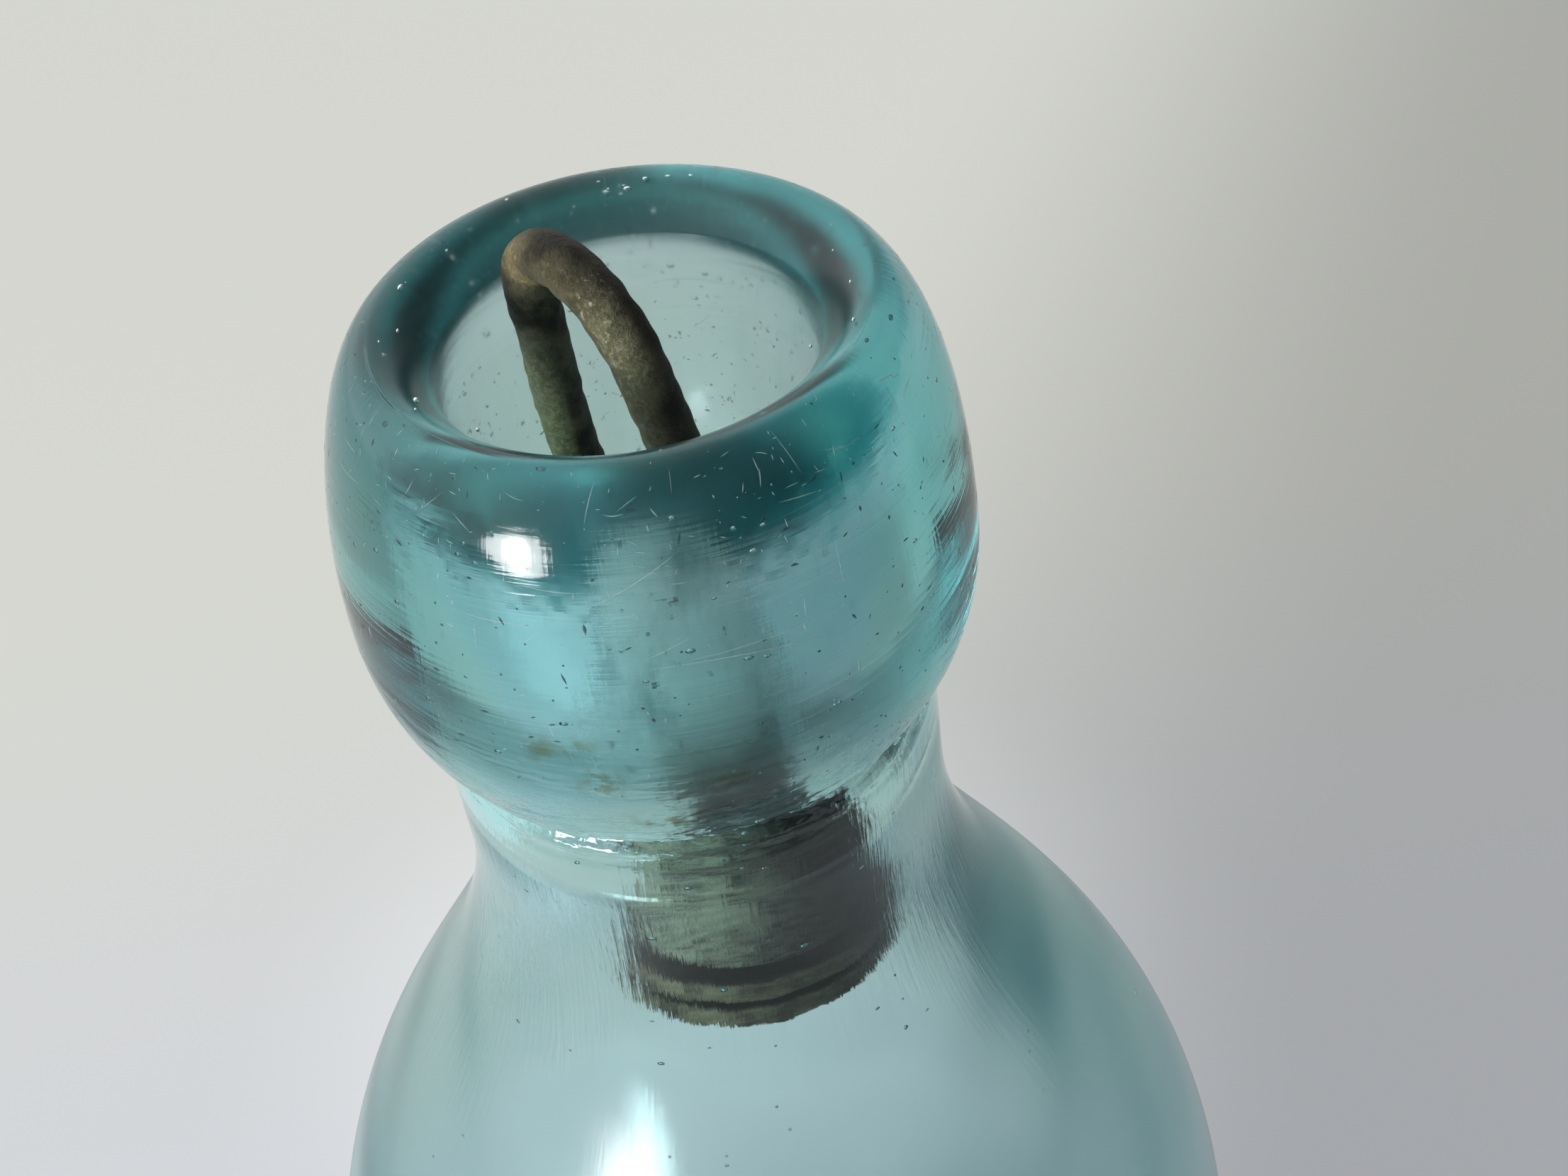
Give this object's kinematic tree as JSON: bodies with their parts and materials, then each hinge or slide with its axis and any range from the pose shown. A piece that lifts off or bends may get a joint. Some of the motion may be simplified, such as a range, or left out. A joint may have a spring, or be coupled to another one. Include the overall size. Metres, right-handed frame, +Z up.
{
  "type": "spring stopper soda bottle",
  "caption": "Blown aqua glass soda bottle with a thick rounded lip and a captive wire loop stopper that slides in its neck to open and close it.",
  "frame": {"origin": "centre of the bottle's base, on the surface it stands on", "axes": "+Z up along the bottle's axis; the picture looks along +Y from above, with +X to its right"},
  "size_m": [0.061, 0.061, 0.1747],
  "materials": {
    "aqua_glass": "thick hand-finished aqua glass, glossy, with fine scratches and seeds",
    "tarnished_wire": "dark brown tarnish with olive and tan patches",
    "tarnished_plate": "dull olive-brown tarnish",
    "aged_rubber": "dry, faded and slightly crumbled"
  },
  "bodies": {
    "bottle": {"glass_bottle": "aqua_glass"},
    "stopper": {"spring_wire": "tarnished_wire", "upper_plate": "tarnished_plate", "rubber_gasket": "aged_rubber", "lower_plate": "tarnished_plate"}
  },
  "joints": [
    {"name": "stopper_slide", "type": "slide", "parent": "bottle", "child": "stopper", "axis": [-0.1286, 0, 0.9917], "range_m": [0, 0.01089]}
  ]
}
